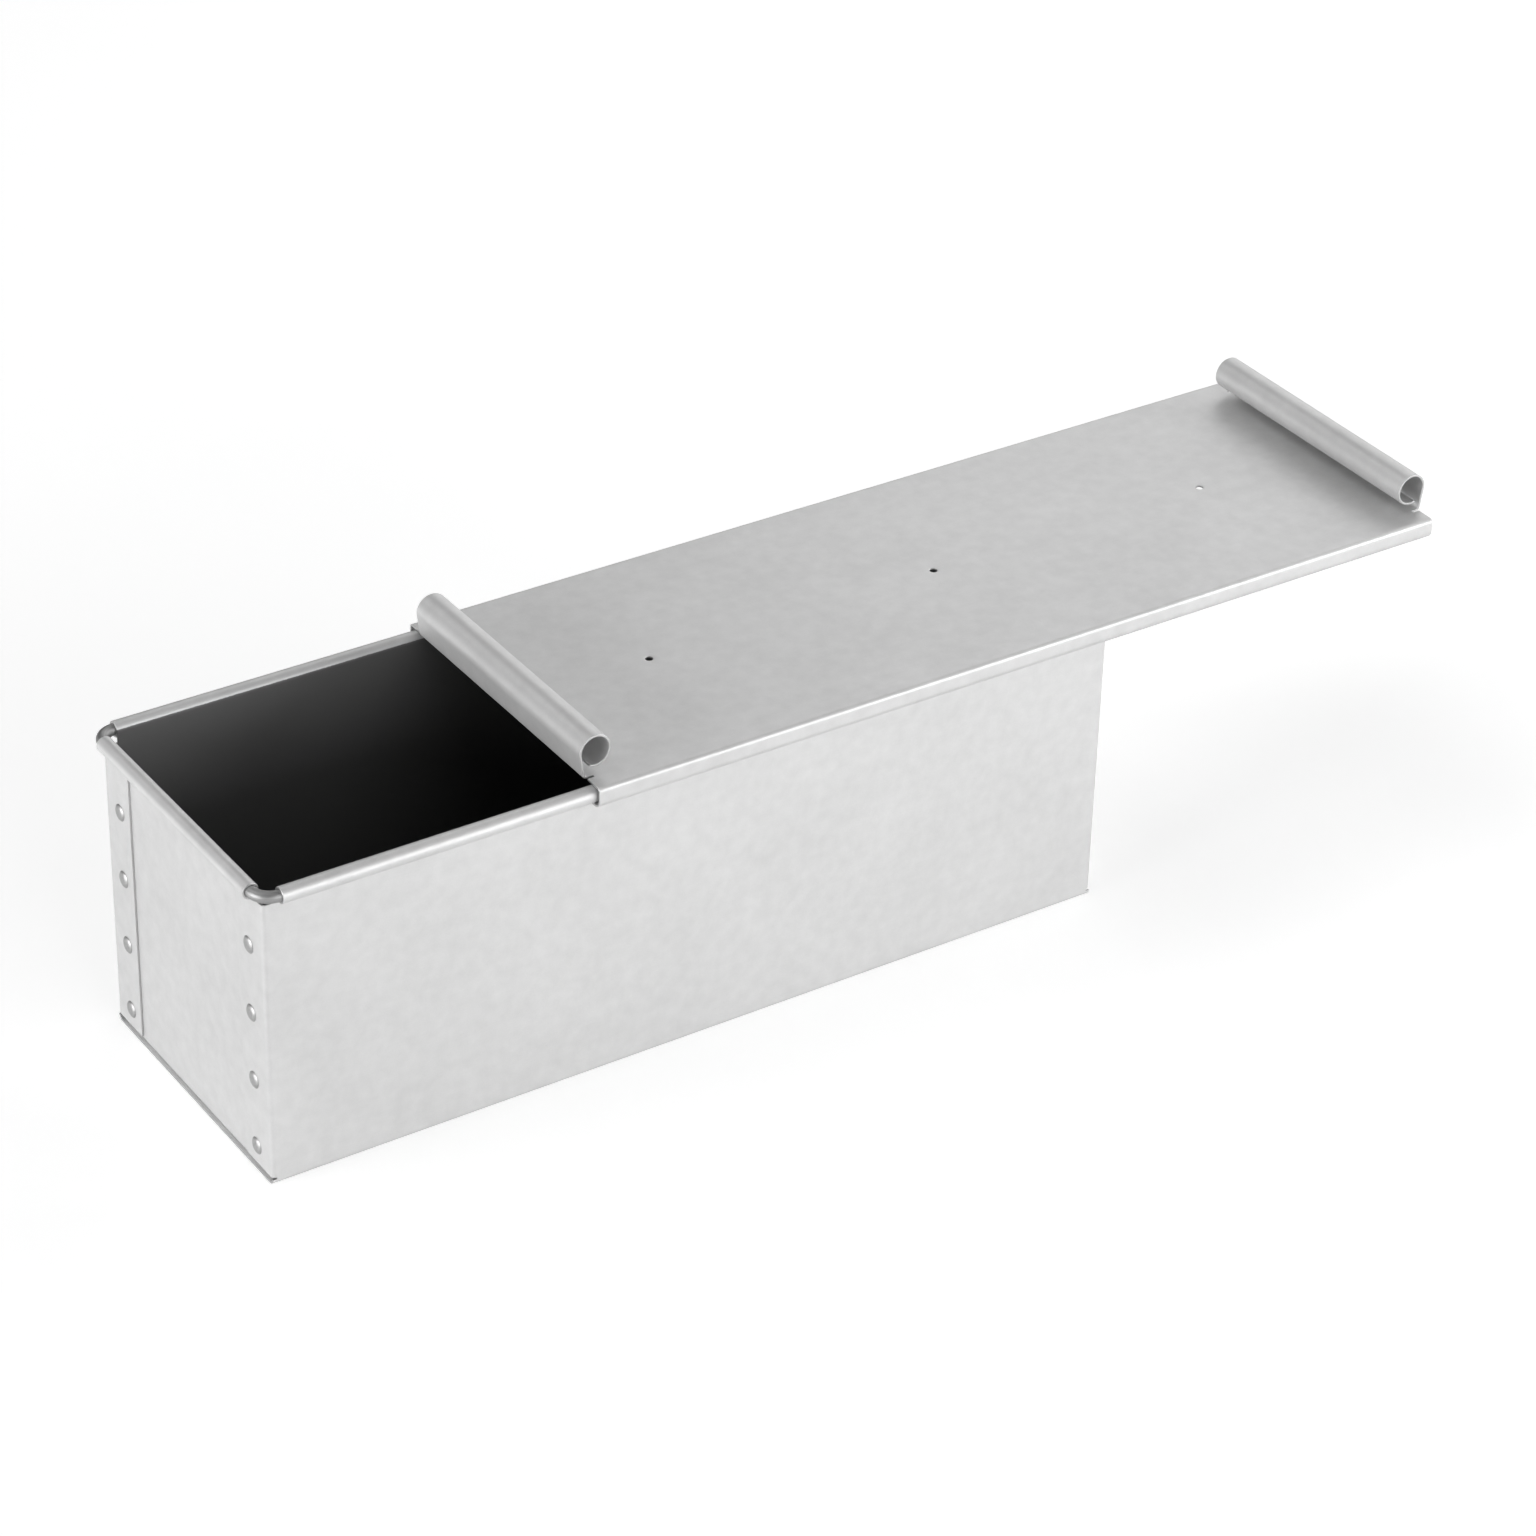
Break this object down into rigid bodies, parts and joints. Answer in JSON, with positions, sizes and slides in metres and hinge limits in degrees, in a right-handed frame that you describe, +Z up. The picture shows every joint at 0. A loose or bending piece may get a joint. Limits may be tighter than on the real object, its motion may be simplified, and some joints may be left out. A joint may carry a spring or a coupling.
{
  "type": "pullman loaf pan",
  "caption": "Straight-sided loaf pan of folded coated sheet with wired rolled rims and a flat cover that slides on them by its side channels, with rolled end grips.",
  "frame": {"origin": "centre of the floor's underside, in the plane that the pan stands on", "axes": "+X along the pan, the way the cover is drawn out; +Y across the pan to its rear side; +Z up out of the open top"},
  "size_m": [0.4329, 0.113, 0.1199],
  "materials": {
    "coated_sheet": "satin",
    "wire": "satin",
    "rivet": "satin"
  },
  "bodies": {
    "pan": {"pan_trough": "coated_sheet", "end_panel_left": "coated_sheet", "end_panel_right": "coated_sheet", "rim_wire": "wire", "rivets_front_left": "rivet", "rivets_rear_left": "rivet", "rivets_front_right": "rivet", "rivets_rear_right": "rivet"},
    "cover": {"lid": "coated_sheet"}
  },
  "joints": [
    {"name": "lid_slide", "type": "slide", "parent": "pan", "child": "cover", "axis": [1, 0, 0], "range_m": [-0.118, 0.2]}
  ]
}
